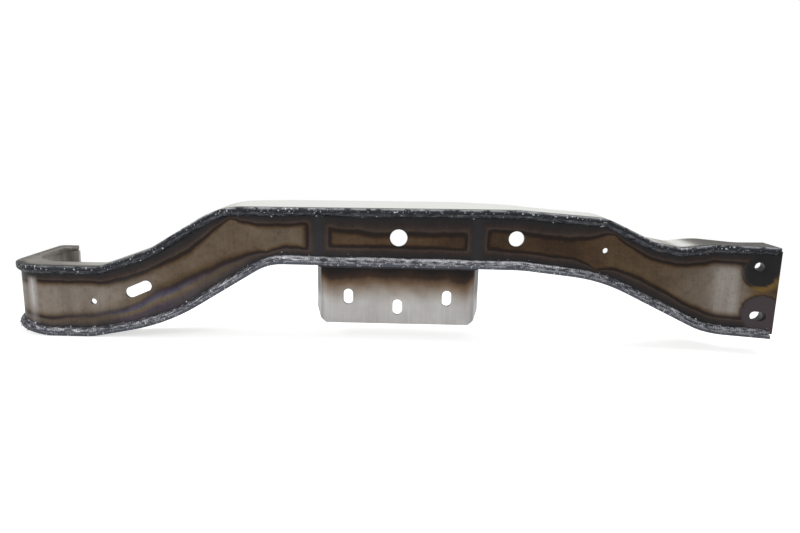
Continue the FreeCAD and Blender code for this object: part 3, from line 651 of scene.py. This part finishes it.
def build_bead(name, node, wall, upward, material, seed):
    """Rippled fillet weld, laid like overlapping scales along a corner."""
    path = corner_path(tree_of(wall), upward, BEAD_STEP)
    spots, streak_and_highlight, run, turn = [], [], [], []
    for spot, out, up, travelled in path:
        phase = travelled / RIPPLE_PITCH + 0.35 * noise.noise(Vector((travelled * 60.0, seed, 0.0)))
        slow = noise.noise(Vector((travelled * 22.0, seed * 3.1, 1.0)))
        swell = 1.0 + 0.16 * slow + 0.10 * noise.noise(Vector((travelled * 140.0, seed, 5.0)))
        ending = min(1.0, 0.25 + travelled / 0.004, 0.25 + (path[-1][3] - travelled) / 0.004)
        leg = BEAD_LEG * swell * ending
        outward = (out + up).normalized()
        # Span of the lower bead that gets a painted highlight stripe; outside it the bead is darkened.
        highlight_span = step(spot.x, -0.19, -0.12) * (1.0 - step(spot.x, 0.17, 0.27))
        for k in range(BEAD_SIDES + 1):
            t = k / BEAD_SIDES
            bow = math.sin(math.pi * t)
            wave = (phase - 0.35 * bow) - math.floor(phase - 0.35 * bow)
            ridge = RIPPLE_HEIGHT * bow * (1.0 - abs(2.0 * wave - 1.0) ** 1.5)
            lump = 0.00040 * bow * noise.noise(Vector((travelled * 420.0, t * 3.0, seed + 9.0)))
            lump += 0.00060 * bow * noise.noise(Vector((travelled * 150.0, t * 2.0, seed + 4.0)))
            a = out * (leg * (1.0 - t)) + up * (leg * t)
            a += outward * (leg * 0.16 * bow + ridge + lump)
            spots.append(spot + a)
            # Painted highlight: a light stripe along the lower bead inside the span, darker outside
            # it; ripple crests are lightened too.
            lit = 1.6 * highlight_span * (math.exp(-((t - 0.72) / 0.2) ** 2) - 0.45) - 1.15 * (1.0 - highlight_span)
            streak_and_highlight.append(ridge / RIPPLE_HEIGHT + 0.8 * slow + (0.0 if upward else lit))
            run.append(travelled)
            turn.append(t)
        spots.append(spot.copy())
        streak_and_highlight.append(0.0)
        run.append(travelled)
        turn.append(0.5)
    ring = BEAD_SIDES + 2
    faces = []
    for i in range(len(path) - 1):
        for k in range(ring):
            a, b = i * ring + k, i * ring + (k + 1) % ring
            faces.append((a, b, b + ring, a + ring))
    faces.append(tuple(range(ring - 1, -1, -1)))
    faces.append(tuple((len(path) - 1) * ring + k for k in range(ring)))
    mesh = bpy.data.meshes.new(name)
    mesh.from_pydata(spots, [], faces)
    bm = bmesh.new()
    bm.from_mesh(mesh)
    bmesh.ops.recalc_face_normals(bm, faces=bm.faces)
    bm.to_mesh(mesh)
    bm.free()
    for label, values in (("streak_and_highlight", streak_and_highlight), ("run", run), ("turn", turn)):
        add_attribute(mesh, label, values)
    for polygon in mesh.polygons:
        polygon.use_smooth = True
    mesh.materials.append(material)
    new_piece(name, mesh, [node])
    return path


def add_ball(bm, spot, size, rng):
    """Small lumpy ball."""
    turn = Matrix.Rotation(rng.random() * 6.28, 4, Vector((rng.random(), rng.random(), 1.0)))
    scale = Matrix.Diagonal((size, size * rng.uniform(0.7, 1.0), size * rng.uniform(0.7, 1.0), 1.0))
    bmesh.ops.create_icosphere(bm, subdivisions=1, radius=1.0,
                               matrix=Matrix.Translation(spot) @ turn @ scale)


def build_spatter(name, path, seed, amount, material):
    """Spatter stuck to the wall's front edge, the bead and the face beside it."""
    rng = random.Random(seed)
    bm = bmesh.new()
    for _ in range(amount):
        spot, out, up, _ = path[int(rng.random() ** 0.9 * (len(path) - 1))]
        kind = rng.random()
        is_small = rng.random() < 0.8
        size = rng.uniform(0.00035, 0.0008) if is_small else rng.uniform(0.0008, 0.0016)
        if kind < 0.62:
            place = spot + out * (0.0050 + size * 0.1) - up * rng.uniform(0.0003, 0.0043)
        elif kind < 0.985:
            t = rng.random()
            place = spot + (out * (1.0 - t) + up * t) * (BEAD_LEG * 1.12)
        else:
            place = spot + up * rng.uniform(0.006, 0.010) + out * (size * 0.3)
        if all(low + size < v < high - size
               for v, low, high in zip(place + DATUM, cad_low, cad_high)):
            add_ball(bm, place, size, rng)
    mesh = bpy.data.meshes.new(name)
    bm.to_mesh(mesh)
    bm.free()
    for polygon in mesh.polygons:
        polygon.use_smooth = True
    mesh.materials.append(material)
    new_piece(name, mesh)


def build_details():
    """Everything that makes up the part."""
    build_face()
    build_wall("upper_wall", True)
    build_wall("lower_wall", False)
    build_bracket()
    # The upper bead is coloured darker and the lower lighter: dark oxide with painted shade under the
    # upper wall's lip, and light metal with painted light on the lower bead.
    top_oxide_and_shade = bead_material("upper_bead_oxide_and_shade", seen(32, 33, 37), seen(132, 134, 142), 0.42, 0.78)
    low_metal_and_light = bead_material("lower_bead_metal_and_light", seen(70, 71, 79), seen(240, 240, 245), 0.38, 0.62)
    spatter = spatter_material()
    path = build_bead("upper_bead", "upper_front_weld", "upper_wall", True, top_oxide_and_shade, 3)
    build_spatter("upper_spatter", path, 3, 190, spatter)
    path = build_bead("lower_bead", "lower_front_weld", "lower_wall", False, low_metal_and_light, 8)
    build_spatter("lower_spatter", path, 8, 420, spatter)
    rib_steel = plain_material("rib_sheet", seen(70, 66, 62), seen(120, 114, 108))
    tube_steel = plain_material("tube_metal", seen(52, 52, 56), seen(96, 96, 100), 0.6)
    small_weld = plain_material("small_weld_metal", seen(26, 26, 28), seen(78, 78, 84), 0.5)
    for name in ("left_rib", "right_rib"):
        dress(name, rib_steel)
    for name in ("upper_end_sleeve", "lower_end_sleeve"):
        dress(name, tube_steel)
    for name in ("left_rib_weld", "right_rib_weld", "upper_sleeve_weld", "lower_sleeve_weld",
                 "bracket_front_weld", "bracket_left_weld", "bracket_right_weld"):
        dress(name, small_weld)


def dress(node, material):
    """Gives a CAD node its material."""
    mesh = nodes[node].data
    mesh.materials.clear()
    mesh.materials.append(material)


def make_camera():
    """Camera where the photographer stood: dipped to the part and rolled a little."""
    data = bpy.data.cameras.new("Camera")
    data.lens = CAMERA_LENS
    data.sensor_width = 36.0
    data.sensor_fit = "HORIZONTAL"
    data.clip_start, data.clip_end = 0.01, 50.0
    camera = bpy.data.objects.new("Camera", data)
    bpy.context.scene.collection.objects.link(camera)
    ahead = Vector((0.0, math.cos(CAMERA_DIP), -math.sin(CAMERA_DIP)))
    up = Vector((0.0, math.sin(CAMERA_DIP), math.cos(CAMERA_DIP)))
    right = Vector((1.0, 0.0, 0.0))
    turned_right = right * math.cos(CAMERA_ROLL) + up * math.sin(CAMERA_ROLL)
    turned_up = up * math.cos(CAMERA_ROLL) - right * math.sin(CAMERA_ROLL)
    basis = Matrix((turned_right, turned_up, -ahead)).transposed().to_4x4()
    camera.matrix_world = Matrix.Translation(DATUM - ahead * CAMERA_DISTANCE) @ basis
    bpy.context.scene.camera = camera


def add_area_light(name, place, size, power):
    """Soft white rectangular lamp, aimed at the part."""
    data = bpy.data.lights.new(name, "AREA")
    data.shape = "RECTANGLE"
    data.size, data.size_y = size
    data.energy = power
    lamp = bpy.data.objects.new(name, data)
    bpy.context.scene.collection.objects.link(lamp)
    lamp.location = place
    lamp.rotation_euler = (LAMP_AIM - Vector(place)).to_track_quat("-Z", "Y").to_euler()


def make_world():
    """World that looks white and lights softly."""
    world = bpy.data.worlds.new("World")
    bpy.context.scene.world = world
    world.use_nodes = True
    tree = world.node_tree
    tree.nodes.clear()
    out = tree.nodes.new("ShaderNodeOutputWorld")
    mix = tree.nodes.new("ShaderNodeMixShader")
    backdrop = tree.nodes.new("ShaderNodeBackground")
    backdrop.inputs["Color"].default_value = (*WHITE, 1.0)
    lit = tree.nodes.new("ShaderNodeBackground")
    lit.inputs["Color"].default_value = (*WHITE, 1.0)
    lit.inputs["Strength"].default_value = 0.42
    path = tree.nodes.new("ShaderNodeLightPath")
    tree.links.new(path.outputs["Is Camera Ray"], mix.inputs[0])
    tree.links.new(lit.outputs[0], mix.inputs[1])
    tree.links.new(backdrop.outputs[0], mix.inputs[2])
    tree.links.new(mix.outputs[0], out.inputs["Surface"])


def make_floor():
    """Pale floor that keeps the part's shadow and fades to white further out."""
    mesh = bpy.data.meshes.new("Floor")
    half = 6.0
    corners = [(-half, -half, 0.0), (half, -half, 0.0), (half, half, 0.0), (-half, half, 0.0)]
    mesh.from_pydata(corners, [], [(0, 1, 2, 3)])
    floor = bpy.data.objects.new("Floor", mesh)
    bpy.context.scene.collection.objects.link(floor)
    floor.location.z = -0.0005
    material = bpy.data.materials.new("floor_white")
    material.use_nodes = True
    tree = material.node_tree
    tree.nodes.clear()
    out = tree.nodes.new("ShaderNodeOutputMaterial")
    place = tree.nodes.new("ShaderNodeTexCoord")
    squeeze = tree.nodes.new("ShaderNodeMapping")
    squeeze.inputs["Scale"].default_value = (0.75, 1.0, 1.0)
    away = tree.nodes.new("ShaderNodeVectorMath")
    away.operation = "LENGTH"
    fade = tree.nodes.new("ShaderNodeMapRange")
    fade.interpolation_type = "SMOOTHSTEP"
    fade.inputs["From Min"].default_value = 0.18
    fade.inputs["From Max"].default_value = 0.62
    blank = tree.nodes.new("ShaderNodeEmission")
    blend = tree.nodes.new("ShaderNodeMixShader")
    camera_only = tree.nodes.new("ShaderNodeMath")
    camera_only.operation = "MULTIPLY"
    add = tree.nodes.new("ShaderNodeAddShader")
    paint = tree.nodes.new("ShaderNodeBsdfDiffuse")
    paint.inputs["Color"].default_value = (0.82, 0.82, 0.82, 1.0)
    glow = tree.nodes.new("ShaderNodeEmission")
    path = tree.nodes.new("ShaderNodeLightPath")
    level = tree.nodes.new("ShaderNodeMath")
    level.operation = "MULTIPLY"
    level.inputs[1].default_value = 0.62
    tree.links.new(path.outputs["Is Camera Ray"], level.inputs[0])
    tree.links.new(level.outputs[0], glow.inputs["Strength"])
    tree.links.new(paint.outputs[0], add.inputs[0])
    tree.links.new(glow.outputs[0], add.inputs[1])
    tree.links.new(place.outputs["Object"], squeeze.inputs["Vector"])
    tree.links.new(squeeze.outputs[0], away.inputs[0])
    tree.links.new(away.outputs["Value"], fade.inputs["Value"])
    tree.links.new(fade.outputs[0], camera_only.inputs[0])
    tree.links.new(path.outputs["Is Camera Ray"], camera_only.inputs[1])
    tree.links.new(camera_only.outputs[0], blend.inputs[0])
    tree.links.new(add.outputs[0], blend.inputs[1])
    tree.links.new(blank.outputs[0], blend.inputs[2])
    tree.links.new(blend.outputs[0], out.inputs["Surface"])
    mesh.materials.append(material)


def make_lamps():
    """One lamp above and one at the left front."""
    add_area_light("Overhead", (0.1, 0.25, 1.3), (1.6, 1.0), 16.0)
    add_area_light("LeftFront", (-1.0, -1.2, 0.9), (1.0, 0.8), 9.0)


build_details()
make_camera()
make_world()
make_floor()
make_lamps()

scene = bpy.context.scene
scene.view_settings.view_transform = "Standard"
